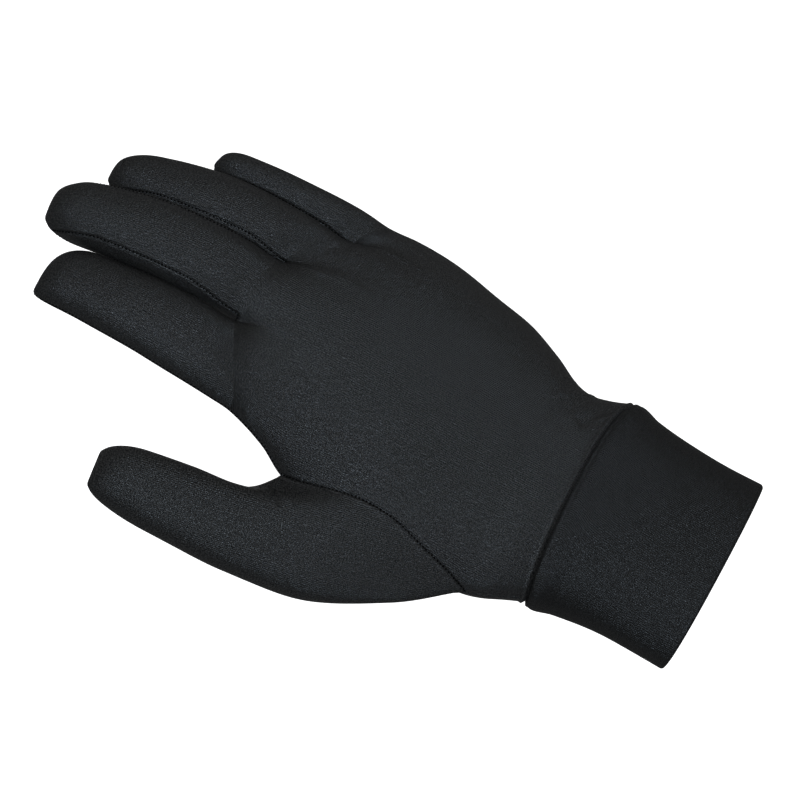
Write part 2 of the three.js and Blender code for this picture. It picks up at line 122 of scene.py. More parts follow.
FINGERS = table(
    "length width depth swell lean splay rise curl roll lift radial_seam ulnar_seam",
    (0.922, 1.072, 1.0, 0.05, 0.4, 3.5, 2, 24, -8, 0.09, 0, 10),
    (0.98, 0.968, 1.06, 0.32, 0.0, -2.8, 5, 27, -7, -0.06, 38, 30),
    (0.985, 0.79, 0.925, 0.38, 0.0, -1.2, 3, 28, 4, -0.025, 38, 12),
    (0.787, 0.58, 0.81, -0.1, 0.0, 4, 0, 20, 18, 0.025, 16, 0),
)
FINGERS = [{name: column[i] for name, column in FINGERS.items()} for i in range(4)]
PALM_SECTIONS = table(
    "at radial ulnar back palm lift arch",
    (0.0, 1.0, 0.99, 1.0, 1.0, 0.0, 0.0),
    (0.05, 1.07, 0.92, 0.98, 1.0, 0.02, 0.03),
    (0.1, 1.13, 0.88, 0.98, 1.0, 0.05, 0.1),
    (0.15, 1.15, 0.91, 0.98, 1.02, 0.08, 0.18),
    (0.22, 1.13, 1.02, 0.98, 1.04, 0.14, 0.28),
    (0.32, 1.13, 1.13, 0.98, 1.02, 0.22, 0.4),
    (0.44, 1.1, 1.21, 0.96, 1.0, 0.3, 0.52),
    (0.58, 1.03, 1.3, 0.92, 0.94, 0.36, 0.66),
    (0.7, 0.94, 1.32, 0.88, 0.88, 0.39, 0.8),
    (0.78, 0.82, 1.31, 0.82, 0.82, 0.4, 0.86),
    (0.88, 0.75, 1.28, 0.72, 0.72, 0.41, 0.92),
    (1.0, 0.73, 1.27, 0.62, 0.62, 0.41, 0.95),
)
ROOT_LINE = table(
    "across at",
    (0.0, 0.9),
    (0.3, 1.0),
    (0.59, 0.97),
    (0.82, 0.85),
    (1.0, 0.76),
)
FINGER_TAPER = table(
    "at width depth swell",
    (0.0, 1.0, 1.0, 0.0),
    (0.25, 0.95, 0.96, 0.75),
    (0.55, 0.88, 0.92, 1.0),
    (0.8, 0.82, 0.84, 0.65),
    (1.0, 0.78, 0.78, 0.0),
)
THUMB_SECTIONS = table(
    "at inner_along inner_out outer_along outer_out drop depth",
    (0.0, 0.0, 0.0, -1.28, 0.03, 0.1, 1.0),
    (0.2, 0.11, 0.13, -0.93, 0.32, 0.15, 1.1),
    (0.4, 0.26, 0.19, -0.48, 0.57, 0.2, 1.1),
    (0.6, 0.48, 0.2, 0.04, 0.65, 0.27, 1.0),
    (0.8, 0.74, 0.235, 0.52, 0.655, 0.34, 0.92),
    (1.0, 1.0, 0.28, 0.95, 0.66, 0.4, 0.84),
)
CUFF_SECTIONS = table(
    "at width depth",
    (0.0, 1.0, 1.0),
    (0.06, 1.03, 1.03),
    (0.2, 0.98, 0.99),
    (0.55, 0.93, 0.95),
    (1.0, 0.935, 0.95),
)
# How a side strip narrows to a point along its finger
STRIP_WIDTH = table(
    "at left", (0.0, 1.0), (0.7186, 1.0), (0.81, 0.717), (0.8827, 0.358), (0.9444, 0.0)
)

# Rows and columns of the mesh
WRIST_ROWS = 34
HOLE_ROWS = 72
KNUCKLE_ROWS = 34
FINGER_ROWS = 96
TIP_ROWS = 16
FINGER_COLUMNS = 34
GAP_COLUMNS = 6
STRIP_COLUMNS = 22
THUMB_ROOT_ROWS = 12
THUMB_ROOT = 0.06
THUMB_ROWS = 110
CUFF_ROWS = 58
LIP_ROWS = 8

# How closely rows gather at a seam, as the power of their even shares
WRIST_GATHER = 1.5
THUMB_GATHER = 1.6
CUFF_GATHER = 1.4

# Seams: a groove where two pieces meet, with a soft ridge along each side of it. The inner face
# takes this share of the outer face's relief.
SEAM = dict(groove=0.16, groove_width=0.4, ridge=0.2, ridge_at=1.15, ridge_width=0.7)
WRIST_SEAM = dict(groove=0.3, groove_width=0.3, ridge=0.5, ridge_at=1.25, ridge_width=0.6)
INNER_RELIEF = 0.5


def curve(rows, column, t, key="at"):
    """Cubic through the rows of a table: on each span the Hermite cubic of its two rows, with the
    slope at a row taken from the rows on either side of it."""
    x, y = rows[key], rows[column]
    before = np.maximum(np.arange(len(x)) - 1, 0)
    after = np.minimum(np.arange(len(x)) + 1, len(x) - 1)
    slope = (y[after] - y[before]) / (x[after] - x[before])
    u = np.clip(t, x[0], x[-1])
    i = np.minimum(np.searchsorted(x[1:], u), len(x) - 2)
    span = x[i + 1] - x[i]
    s = (u - x[i]) / span
    return (
        (2 * s**3 - 3 * s**2 + 1) * y[i]
        + (s**3 - 2 * s**2 + s) * span * slope[i]
        + (3 * s**2 - 2 * s**3) * y[i + 1]
        + (s**3 - s**2) * span * slope[i + 1]
    )


def lerp(a, b, t):
    """From a to b in a straight line: a plus t times their difference."""
    return a + (b - a) * t


def smooth(t):
    """Zero to one with level ends: three t squared less two t cubed."""
    t = np.clip(t, 0.0, 1.0)
    return t * t * (3 - 2 * t)


def power(value, exponent):
    """A power that keeps the sign of its value."""
    return np.sign(value) * np.abs(value) ** exponent


def points(x, y, z):
    """An array of points from three arrays of coordinates, spread to one common size."""
    return np.stack(np.broadcast_arrays(x, y, z), axis=-1).astype(float)


for finger in FINGERS:
    finger["length"] *= FINGER_LENGTH
    finger["width"] *= FINGER_WIDTH
    finger["depth"] *= FINGER_DEPTH
    finger["lift"] *= FINGER_DEPTH
HAND_WIDTH = sum(f["width"] for f in FINGERS) + CROTCH_GAP * (len(FINGERS) - 1)
RADIAL_EDGE = -PALM_SECTIONS["radial"][-1] * HAND_WIDTH / 2


def palm_section(x):
    """Share of the palm's length at x, then the centre, half width and half depth of the hand
    there: the wrist's sizes pass smoothly into the hand's, times the table's shares."""
    at = (-x - CUFF_LENGTH) / PALM_LENGTH
    blend = smooth(at / WRIST_BLEND)
    half_width = lerp(WRIST_WIDTH, HAND_WIDTH, blend) / 2
    half_depth = lerp(WRIST_DEPTH, PALM_DEPTH, blend) / 2
    radial = -curve(PALM_SECTIONS, "radial", at) * half_width
    ulnar = curve(PALM_SECTIONS, "ulnar", at) * half_width
    return at, (radial + ulnar) / 2, (ulnar - radial) / 2, half_depth


def palm_point(x, degrees):
    """A superellipse about the hand's middle line, which sinks with the square of the distance from
    its centre. Zero degrees is the ulnar edge, 90 the back and 180 the radial edge."""
    at, centre, half, half_depth = palm_section(x)
    across = power(np.cos(np.radians(degrees)), 2 / PALM_FULLNESS)
    up = power(np.sin(np.radians(degrees)), 2 / PALM_FULLNESS)
    height = np.where(
        up > 0, curve(PALM_SECTIONS, "back", at), curve(PALM_SECTIONS, "palm", at)
    )
    lift, arch = curve(PALM_SECTIONS, "lift", at), curve(PALM_SECTIONS, "arch", at)
    return points(x, centre + half * across, half_depth * (lift - arch * across**2 + up * height))


def root_x(across):
    """Where the fingers start, from the root line's curve."""
    return -(CUFF_LENGTH + PALM_LENGTH * curve(ROOT_LINE, "at", across, key="across"))


edge = 0.0
for finger in FINGERS:
    x = root_x((edge + finger["width"] / 2) / HAND_WIDTH)
    y = RADIAL_EDGE + edge + finger["width"] / 2
    at, centre, half, half_depth = palm_section(x)
    arch = curve(PALM_SECTIONS, "arch", at) * ((y - centre) / half) ** 2
    z = half_depth * (curve(PALM_SECTIONS, "lift", at) - arch)
    finger["root"] = np.array([x, y, z + finger["lift"]])
    finger["from"] = edge / HAND_WIDTH
    finger["to"] = (edge + finger["width"]) / HAND_WIDTH
    edge += finger["width"] + CROTCH_GAP


def tip_round(t):
    """How much of a section is left near a tip: a quarter of a superellipse over the last share."""
    end = np.clip((t - 1 + TIP_SHARE) / TIP_SHARE, 0.0, 1.0)
    return (1 - end**TIP_FULLNESS) ** (1 / TIP_FULLNESS)


def finger_point(finger, t, degrees):
    """A superellipse carried along an arc of a circle that bends down, then turned by splay and
    roll. It tapers by the table and closes to a short line at the tip."""
    rise, curl = math.radians(finger["rise"]), math.radians(finger["curl"])
    splay, roll = math.radians(finger["splay"]), math.radians(finger["roll"])
    pitch = rise - curl * t
    forward = finger["length"] * (np.sin(rise) - np.sin(pitch)) / curl
    height = finger["length"] * (np.cos(pitch) - np.cos(rise)) / curl
    heading = np.array([-math.cos(splay), math.sin(splay), 0.0])
    level = np.array([math.sin(splay), math.cos(splay), 0.0])
    over = -np.sin(pitch)[..., None] * heading + np.cos(pitch)[..., None] * [0.0, 0.0, 1.0]
    side = math.cos(roll) * level - math.sin(roll) * over
    up = math.cos(roll) * over + math.sin(roll) * level
    left = tip_round(t)
    half_width = finger["width"] / 2 * curve(FINGER_TAPER, "width", t) * lerp(TIP_WIDTH, 1, left)
    half_depth = finger["depth"] / 2 * curve(FINGER_TAPER, "depth", t) * left
    across = half_width * power(np.cos(np.radians(degrees)), 2 / FINGER_FULLNESS)
    across = across * (1 + (across > 0) * finger["swell"] * curve(FINGER_TAPER, "swell", t))
    across = across - finger["lean"] * finger["width"] / 2 * (1 - left)
    rising = half_depth * power(np.sin(np.radians(degrees)), 2 / FINGER_FULLNESS)
    centre = finger["root"] + forward[..., None] * heading + height[..., None] * [0.0, 0.0, 1.0]
    return centre + across[..., None] * side + rising[..., None] * up


def root_point(finger, degrees):
    """The ring where a finger and the hand meet: the finger's first section, moved onto the root
    line."""
    ring = finger_point(finger, np.zeros_like(degrees), degrees)
    across = np.clip((ring[..., 1] - RADIAL_EDGE) / HAND_WIDTH, 0.0, 1.0)
    ring[..., 0] = root_x(across)
    return ring


def finger_skin(finger, t, degrees):
    """A finger whose first part fades from the root ring into its own shape."""
    t, degrees = np.broadcast_arrays(np.asarray(t, float), np.asarray(degrees, float))
    change = root_point(finger, degrees) - finger_point(finger, np.zeros_like(degrees), degrees)
    fade = 1 - smooth(t / ROOT_FADE)
    return finger_point(finger, t, degrees) + change * fade[..., None]


def strip_share(t):
    """How much of a strip's width there is at t: it opens from the crotch and closes at its end."""
    opened = lerp(STRIP_START, 1.0, smooth(t / STRIP_FULL))
    return opened * np.interp(t, STRIP_WIDTH["at"], STRIP_WIDTH["left"]) ** STRIP_ROUNDNESS


def seam_angle(back_seam, side, t):
    """Angle from a finger's side line to a seam, on the back (side 1) or the palm (side -1)."""
    return (back_seam if side > 0 else PALM_SEAM) * strip_share(t)


def hole_angle(share, side):
    """How far the thumb hole opens from the radial edge: a power of a sine arch along the hand."""
    along = np.clip((share - HOLE_FROM) / (HOLE_TO - HOLE_FROM), 0.0, 1.0)
    return (HOLE_BACK if side > 0 else HOLE_PALM) * np.sin(np.pi * along) ** HOLE_ROUNDNESS


def place_on_root(finger, degrees):
    """Place across the hand, from -1 at the radial edge to 1, of a point of a finger's root."""
    on_finger = (1 + power(np.cos(np.radians(degrees)), 2 / FINGER_FULLNESS)) / 2
    return 2 * lerp(finger["from"], finger["to"], on_finger) - 1


def edge_angle_of(place):
    """Angle from the ulnar edge, in degrees, of a place across the hand."""
    return np.degrees(np.arccos(np.clip(power(place, PALM_FULLNESS / 2), -1, 1)))


def root_change(place, root, side, dip):
    """How far a root point lies off the palm's own surface."""
    return root - palm_point(root[..., 0] - dip, side * edge_angle_of(place))


def hand_skin(place, root, valley, share, side, dip=0.0, soft=0.0):
    """The hand between its wrist seam and a root point: the palm's surface, squeezed round the
    thumb hole, taking up the root point's place over the last part of the way. valley is one
    between two fingers and nothing at the middle of one, dip is how far the root point lies back
    towards the wrist, and soft evens out the change away from the root."""
    place, valley, share = np.broadcast_arrays(place, valley, share)
    edge_angle = edge_angle_of(place)
    angle = edge_angle - hole_angle(share, side) * (edge_angle / 180) ** HOLE_SPREAD
    bow = WRIST_BOW * np.sin(np.radians(edge_angle)) if side > 0 else 0.0
    turn = WRIST_TURN * np.maximum(0.0, place) ** 4
    x = lerp(turn - bow - CUFF_LENGTH, root[..., 0] - dip, share)
    here = palm_point(x, side * angle)
    sharp = smooth((share - SHARP_FROM) / (1 - SHARP_FROM))
    change = root_change(place, root, side, dip) + soft * (1 - sharp)[..., None]
    sharpness = lerp(KNUCKLE_POWER, VALLEY_POWER, valley)
    fade = np.clip((share - KNUCKLES) / (1 - KNUCKLES), 0.0, 1.0) ** sharpness
    return here + change * fade[..., None]


def even(count, start, stop):
    """Numbers from start to stop with so many equal steps between them."""
    return np.linspace(start, stop, count + 1)


def gathered(count, stop, exponent):
    """Shares from 0 to stop that lie closer together near 0, by a power."""
    return stop * even(count, 0.0, 1.0) ** exponent


def rounded_end(share, rows):
    """Steps over the last share before 1, by the sine of even angles, as a round end is divided."""
    return 1 - share * (1 - np.sin(even(rows, 0.0, math.pi / 2)))


def eased(count):
    """Shares from 0 to 1 that lie closer together towards both ends, by a cosine."""
    return (1 - np.cos(np.pi * np.arange(count + 1) / count)) / 2


TIP_STEPS = rounded_end(TIP_SHARE, TIP_ROWS)
FINGER_STEPS = np.concatenate([even(FINGER_ROWS, 0.0, 1 - TIP_SHARE)[:-1], TIP_STEPS])
STRIP_STEPS = FINGER_STEPS[FINGER_STEPS < STRIP_WIDTH["at"][-1]]
STRIP_STEPS = np.append(STRIP_STEPS, STRIP_WIDTH["at"][-1])
FINGER_STEPS = np.unique(np.append(FINGER_STEPS, STRIP_WIDTH["at"][-1]))
PALM_STEPS = np.concatenate(
    [
        gathered(WRIST_ROWS, HOLE_FROM, WRIST_GATHER)[:-1],
        even(HOLE_ROWS, HOLE_FROM, HOLE_TO)[:-1],
        even(KNUCKLE_ROWS, HOLE_TO, 1.0),
    ]
)


def finger_angles(i, t, side):
    """Angles of the columns of finger i at t, from its radial to its ulnar seam."""
    radial, ulnar = FINGERS[i]["radial_seam"], FINGERS[i]["ulnar_seam"]
    start = 180.0 - (seam_angle(radial, side, t) if i > 0 else np.zeros_like(t))
    stop = seam_angle(ulnar, side, t) if i < len(FINGERS) - 1 else np.zeros_like(t)
    return side * lerp(start[..., None], stop[..., None], eased(FINGER_COLUMNS))


def crotch_angles(i, share, t=0.0):
    """Angles of the strip between finger i and the next, on each of them, at a share of the way
    from its back edge to its palm edge."""
    near, far = FINGERS[i]["ulnar_seam"], FINGERS[i + 1]["radial_seam"]
    near = lerp(seam_angle(near, 1, t), -seam_angle(near, -1, t), share)
    far = lerp(seam_angle(far, 1, t), -seam_angle(far, -1, t), share)
    return near, 180.0 - far


def crotch_line(i, share):
    """From the side of finger i to the side of the next, as a short arc that dips towards the
    wrist, at a share of the way from the strip's back edge to its palm edge."""
    near, far = crotch_angles(i, share)
    a = root_point(FINGERS[i], np.array([near]))[0]
    b = root_point(FINGERS[i + 1], np.array([far]))[0]
    s = even(GAP_COLUMNS, 0.0, 1.0)[:, None]
    dip = 4 * s * (1 - s) * CROTCH_DIP * abs(b[1] - a[1])
    return lerp(a, b, s) + dip * [1.0, 0.0, 0.0]


def hand_columns(side):
    """The hand's columns over the fingers and the gaps between them, as hand_skin takes them, and
    the slice of columns that belongs to each finger. soft is the change's mean over neighbouring
    columns, weighted by a bell curve of their distance, less the change itself."""
    places, roots, valleys, dips, own = [], [], [], [], []
    for i, finger in enumerate(FINGERS):
        angles = finger_angles(i, np.array(0.0), side)
        first = sum(len(p) for p in places)
        places.append(place_on_root(finger, angles))
        roots.append(root_point(finger, angles))
        from_middle = 2 * (angles - angles[0]) / (angles[-1] - angles[0]) - 1
        beside = (from_middle < 0) & (i == 0) | (from_middle > 0) & (i == len(FINGERS) - 1)
        valleys.append(np.where(beside, 0.0, from_middle**2))
        dips.append(np.zeros(len(angles)))
        own.append(slice(first, first + len(angles)))
        if i < len(FINGERS) - 1:
            near, far = crotch_angles(i, 0.0 if side > 0 else 1.0)
            start, stop = place_on_root(finger, near), place_on_root(FINGERS[i + 1], far)
            places.append(even(GAP_COLUMNS, start, stop)[1:-1])
            line = crotch_line(i, 0.0 if side > 0 else 1.0)
            roots.append(line[1:-1])
            valleys.append(np.ones(GAP_COLUMNS - 1))
            dips.append((line[:, 0] - even(GAP_COLUMNS, line[0, 0], line[-1, 0]))[1:-1])
    places, roots, valleys, dips = map(np.concatenate, (places, roots, valleys, dips))
    change = root_change(places, roots, side, dips)
    near = np.exp(-(((roots[:, None, 1] - roots[None, :, 1]) / VALLEY_BLUR) ** 2))
    near *= np.abs(np.gradient(roots[:, 1]))
    mean = near @ change / near.sum(1, keepdims=True)
    soft = (mean - change) * np.minimum(1.0, 2 * valleys)[:, None]
    return dict(place=places, root=roots, valley=valleys, dip=dips, soft=soft), own


def length_along(grid, axis):
    """Distance run along a grid's rows or columns, from its first point."""
    step = np.linalg.norm(np.diff(grid, axis=axis), axis=-1)
    pad = [(1, 0) if a == axis else (0, 0) for a in range(2)]
    return np.cumsum(np.pad(step, pad), axis=axis)


def seam_relief(distance, seam):
    """Height beside a seam at a distance: a round groove and, further off, a round ridge."""
    groove = -seam["groove"] * np.exp(-((distance / seam["groove_width"]) ** 2))
    ridge = seam["ridge"] * np.exp(-(((distance - seam["ridge_at"]) / seam["ridge_width"]) ** 2))
    return groove + ridge


def nearest(grid, line):
    """Distance from each point of a grid to the nearest point of a line."""
    gap = grid[..., None, :] - line
    return np.sqrt((gap**2).sum(-1).min(-1))


# Folds and hollows, in plan: both ends, height and half width
WRIST_FOLDS = table(
    "start_x start_y end_x end_y height width",
    (-74.1, 32.7, -71.2, 34.7, 0.35, 0.6),
    (-76.3, 21.1, -63.3, 34.0, 0.35, 0.6),
    (-62.7, 17.9, -56.5, 28.5, -0.6, 2.4),
    (-57.9, 22.6, -53.5, 29.0, 0.35, 0.8),
)
THUMB_FOLDS = table(
    "start_x start_y end_x end_y height width",
    (-139.5, -48.2, -137.2, -53.9, -0.6, 0.7),
    (-136.6, -46.0, -135.0, -52.0, 0.35, 1.2),
)


def fold_relief(grid, folds):
    """The sum of some folds: each a bell curve across its line that fades off its ends."""
    relief = np.zeros(grid.shape[:2])
    for start_x, start_y, end_x, end_y, height, width in zip(*folds.values()):
        length = math.hypot(end_x - start_x, end_y - start_y)
        way_x, way_y = (end_x - start_x) / length, (end_y - start_y) / length
        x, y = grid[..., 0] - start_x, grid[..., 1] - start_y
        along, across = x * way_x + y * way_y, y * way_x - x * way_y
        fade = smooth(1 + along / FOLD_FADE) * smooth(1 + (length - along) / FOLD_FADE)
        relief += height * fade * np.exp(-((across / width) ** 2))
    return relief


def waviness(grid):
    """Very shallow unevenness of worn cloth: a sum of slow waves in x and y."""
    x, y = grid[..., 0], grid[..., 1]
    wave = np.sin(x / 7.1 + 1.3 * np.sin(y / 9.0)) + np.sin(y / 5.3 + x / 17.0)
    return WAVE * (wave + np.sin(x / 4.1 - y / 6.7))


def split(rows, columns, flip):
    """Two triangles for each cell of a grid of points."""
    index = np.arange(rows * columns).reshape(rows, columns)
    a, b = index[:-1, :-1].ravel(), index[:-1, 1:].ravel()
    c, d = index[1:, :-1].ravel(), index[1:, 1:].ravel()
    faces = np.concatenate([np.stack([a, b, d], 1), np.stack([a, d, c], 1)])
    return faces[:, ::-1] if flip else faces


class Skin:
    """A piece's outer face as it is put together from grids: points, triangles, the height of the
    relief on the outer and on the inner face, and each point's place in the knit."""

    def __init__(self):
        self.points, self.faces, self.relief, self.knit = [], [], [], []
        self.count = 0

    def add(self, grid, relief, across, along, flip=False, hem=0.0):
        """Adds a grid. across and along are the distances over the knit, and a hem draws the
        outer and the inner face together."""
        rows, columns = grid.shape[:2]
        self.faces.append(split(rows, columns, flip) + self.count)
        self.points.append(grid.reshape(-1, 3))
        reliefs = np.broadcast_arrays(relief - hem, INNER_RELIEF * relief + hem)
        self.relief.append(np.stack(reliefs, -1).reshape(-1, 2))
        self.knit.append(np.stack(np.broadcast_arrays(across, along), -1).reshape(-1, 2))
        self.count += rows * columns

    def joined(self):
        """The four arrays, each with the rows of all grids."""
        parts = (self.points, self.faces, self.relief, self.knit)
        return tuple(np.concatenate(part) for part in parts)


def panel(side):
    """The back or the palm: one grid over the hand and one for each finger."""
    skin = Skin()
    columns, own = hand_columns(side)
    grid = hand_skin(share=PALM_STEPS[:, None], side=side, **columns)
    run = length_along(grid, 1)
    down = length_along(grid, 0)
    centre_column = run.shape[1] // 2
    middle = run[:, [centre_column]] - grid[:, [centre_column], 1]
    edge_share = 0.0 if side > 0 else 1.0
    crotches = np.concatenate([crotch_line(i, edge_share) for i in range(len(FINGERS) - 1)])
    sides = np.minimum(run, run[:, -1:] - run)
    crotch = np.full(grid.shape[:2], np.inf)
    crotch[-KNUCKLE_ROWS - 1 :] = nearest(grid[-KNUCKLE_ROWS - 1 :], crotches)
    relief = seam_relief(np.minimum(sides, crotch), SEAM) + seam_relief(down, WRIST_SEAM)
    relief = relief + waviness(grid)
    if side > 0:
        relief = relief + fold_relief(grid, WRIST_FOLDS)
    skin.add(grid, relief, run - middle, down, side < 0)
    for i, finger in enumerate(FINGERS):
        angles = finger_angles(i, FINGER_STEPS, side)
        part = finger_skin(finger, FINGER_STEPS[:, None], angles)
        across = length_along(part, 1)
        along = length_along(part, 0)
        edges = np.minimum(across, across[:, -1:] - across)
        tip = along[-1:, :] - along
        relief = seam_relief(np.minimum(edges, tip), SEAM) + waviness(part)
        start = run[-1, own[i].start] - middle[-1, 0]
        centre = across[:, [across.shape[1] // 2]]
        shift = start + centre[0, 0]
        skin.add(part, relief, across - centre + shift, along + down[-1:, own[i]], side < 0)
    return skin.joined()


def strip(i):
    """The cloth between finger i and the next: down one finger's side, across the crotch and up the
    other finger's side."""
    skin = Skin()
    share = eased(STRIP_COLUMNS)
    for finger, which in ((FINGERS[i], 0), (FINGERS[i + 1], 1)):
        steps = STRIP_STEPS if which else STRIP_STEPS[::-1]
        angles = crotch_angles(i, share[None, :], steps[:, None])[which]
        part = finger_skin(finger, steps[:, None], angles)
        run = length_along(part, 1)
        along = length_along(part, 0)
        relief = seam_relief(np.minimum(run, run[:, -1:] - run), SEAM)
        skin.add(part, relief, run - run[:, [STRIP_COLUMNS // 2]], along, True)
    saddle = np.stack([crotch_line(i, each) for each in share], axis=1)
    run = length_along(saddle, 1)
    relief = seam_relief(np.minimum(run, run[:, -1:] - run), SEAM)
    skin.add(saddle, relief, run - run[:, [STRIP_COLUMNS // 2]], length_along(saddle, 0), True)
    return skin.joined()


def hole_rim(side):
    """The thumb hole's edge on the back or palm, from its finger end to its wrist end."""
    place, root = np.array([-1.0]), root_point(FINGERS[0], np.array([180.0 * side]))
    shares = even(HOLE_ROWS, HOLE_TO, HOLE_FROM)
    return hand_skin(place[None, :], root[None, :], 0.0, shares[:, None], side)[:, 0]


def thumb_section(t, degrees, crotch):
    """A superellipse between the table's inner and outer side lines, which closes to a line at
    the tip."""
    part = {name: curve(THUMB_SECTIONS, name, t) for name in THUMB_SECTIONS if name != "at"}
    z = crotch[2] - part["drop"] * THUMB_DEPTH
    inner = points(
        crotch[0] - part["inner_along"] * THUMB_LENGTH,
        crotch[1] - part["inner_out"] * THUMB_LENGTH,
        z,
    )
    outer = points(
        crotch[0] - part["outer_along"] * THUMB_LENGTH,
        crotch[1] - part["outer_out"] * THUMB_LENGTH,
        z,
    )
    middle = (inner + outer) / 2
    left = tip_round(t)
    half = (inner - middle) * lerp(THUMB_TIP_WIDTH, 1, left)[..., None]
    half_depth = THUMB_DEPTH / 2 * part["depth"] * left
    across = power(np.cos(np.radians(degrees)), 2 / FINGER_FULLNESS)
    rising = half_depth * power(np.sin(np.radians(degrees)), 2 / FINGER_FULLNESS)
    return middle + half * across[..., None] + rising[..., None] * [0.0, 0.0, 1.0]


def thumb():
    """Rings that start as the thumb hole's edge and fade into the thumb's own sections."""
    skin = Skin()
    back, palm = hole_rim(1), hole_rim(-1)
    ring = np.concatenate([back, palm[::-1][1:]])
    degrees = even(2 * HOLE_ROWS, 0.0, 360.0)[None, :]
    steps = np.concatenate(
        [
            gathered(THUMB_ROOT_ROWS, THUMB_ROOT, THUMB_GATHER)[:-1],
            even(THUMB_ROWS, THUMB_ROOT, 1 - TIP_SHARE)[:-1],
            TIP_STEPS,
        ]
    )
    t, degrees = np.broadcast_arrays(steps[:, None], degrees)
    change = ring - thumb_section(np.zeros_like(t[:1]), degrees[:1], back[0])
    fade = 1 - smooth(t / THUMB_FADE)
    grid = thumb_section(t, degrees, back[0]) + change * fade[..., None]
    along = length_along(grid, 0)
    relief = seam_relief(np.minimum(along, along[-1:] - along), SEAM) + waviness(grid)
    relief = relief + fold_relief(grid, THUMB_FOLDS) * (grid[..., 2] > THUMB_SIDE)
    # The knit runs along the thumb as it is seen from above and follows the thumb down its sides
    lean = math.radians(THUMB_KNIT_LEAN)
    sideways = grid[..., 1] * math.cos(lean) - grid[..., 0] * math.sin(lean)
    lengthways = -grid[..., 0] * math.cos(lean) - grid[..., 1] * math.sin(lean)
    skin.add(grid, relief, sideways + THUMB_KNIT_DROP * grid[..., 2], lengthways, True)
    return skin.joined()


def cuff():
    """The wrist seam's ring carried to the open end by the cuff's table. Over the lip both faces
    draw together by a quarter circle, which rounds the hem."""
    skin = Skin()
    back, palm = (hand_skin(share=0.0, side=side, **hand_columns(side)[0]) for side in (1, -1))
    seam = np.concatenate([back, palm[::-1][1:]])
    lip = rounded_end(LIP / CUFF_LENGTH, LIP_ROWS)
    t = np.concatenate([gathered(CUFF_ROWS, lip[0], CUFF_GATHER)[:-1], lip])[:, None]
    width, depth = curve(CUFF_SECTIONS, "width", t), curve(CUFF_SECTIONS, "depth", t)
    skew = END_SKEW * seam[:, 1] / (WRIST_WIDTH / 2)
    grid = points(seam[:, 0] * (1 - t) + skew * t, seam[:, 1] * width, seam[:, 2] * depth)
    along = length_along(grid, 0)
    run = length_along(grid, 1)
    relief = seam_relief(along, WRIST_SEAM) + waviness(grid) * CUFF_WAVE
    left = np.clip((along[-1:] - along) / LIP, 0.0, 1.0)
    hem = CUFF_WALL / 2 * (1 - np.sqrt(1 - (1 - left) ** 2)) * HEM_SHARE
    skin.add(grid, relief, run - run[:, [run.shape[1] // 2]], along, True, hem)
    return skin.joined()


SKINS = {
    "back_panel": panel(1),
    "palm_panel": panel(-1),
    "index_middle_strip": strip(0),
    "middle_ring_strip": strip(1),
    "ring_little_strip": strip(2),
    "thumb": thumb(),
    "cuff": cuff(),
}


def face_normals(corners, faces):
    """Cross product of two edges of each triangle: twice its area, outwards."""
    a, b, c = (corners[faces[:, k]] for k in range(3))
    return np.cross(b - a, c - a)


def summed(count, faces, values):
    """Adds each face's value to its three corners."""
    total = np.zeros((count, 3))
    for k in range(3):
        for axis in range(3):
            total[:, axis] += np.bincount(faces[:, k], values[:, axis], minlength=count)
    return total


def unit(vectors):
    """Vectors divided by their lengths."""
    return vectors / np.maximum(np.linalg.norm(vectors, axis=-1, keepdims=True), 1e-9)


# Points of all pieces at one place are one point of the pool, so that neighbours share their seams
# and the outward direction there. Triangles that close up to a line are left out.
every_point = np.concatenate([skin[0] for skin in SKINS.values()])
_, first, pooled = np.unique(
    np.round(every_point, 3), axis=0, return_index=True, return_inverse=True
)
pooled = pooled.ravel()
POOL = every_point[first]
pool_faces, start = {}, 0
for name, (own_points, faces, _, _) in SKINS.items():
    own_faces = pooled[start : start + len(own_points)][faces]
    whole = (
        (own_faces[:, 0] != own_faces[:, 1])
        & (own_faces[:, 1] != own_faces[:, 2])
        & (own_faces[:, 2] != own_faces[:, 0])
    )
    pool_faces[name] = (own_faces[whole], faces[whole])
    start += len(own_points)
all_faces = np.concatenate([pair[0] for pair in pool_faces.values()])


def outward_normals():
    """The sum of the normals of a pool point's triangles, at length one."""
    return unit(summed(len(POOL), all_faces, face_normals(POOL, all_faces)))


def relaxed(weight, normals):
    """Many small steps in which each point goes towards the mean of its neighbours, times its
    weight, along its own normal."""
    start = all_faces[:, [0, 1, 2, 1, 2, 0]].ravel()
    stop = all_faces[:, [1, 2, 0, 0, 1, 2]].ravel()
    neighbours = np.bincount(start, minlength=len(POOL))
    height = np.zeros(len(POOL))
    for _ in range(RELAX_STEPS):
        place = POOL + normals * height[:, None]
        mean = [np.bincount(start, place[stop, k], minlength=len(POOL)) for k in range(3)]
        step = np.stack(mean, 1) / neighbours[:, None] - place
        height += weight * (step * normals).sum(1)
    return POOL + normals * height[:, None]


def relax_weight():
    """Greatest at the finger roots, fading by a bell curve and close to a crotch, and nothing on
    the strips, thumb and cuff."""
    across = np.clip((POOL[:, 1] - RADIAL_EDGE) / HAND_WIDTH, 0.0, 1.0)
    weight = RELAX_RATE * np.exp(-(((POOL[:, 0] - root_x(across)) / RELAX_REACH) ** 2))
    for i in range(len(FINGERS) - 1):
        crotch = np.concatenate([crotch_line(i, 0.0), crotch_line(i, 1.0)])
        weight *= smooth(nearest(POOL, crotch) / RELAX_REACH)
    for name, (faces, _) in pool_faces.items():
        if not name.endswith("panel"):
            weight[faces.ravel()] = 0.0
    return weight


POOL = relaxed(relax_weight(), outward_normals())
NORMALS = outward_normals()


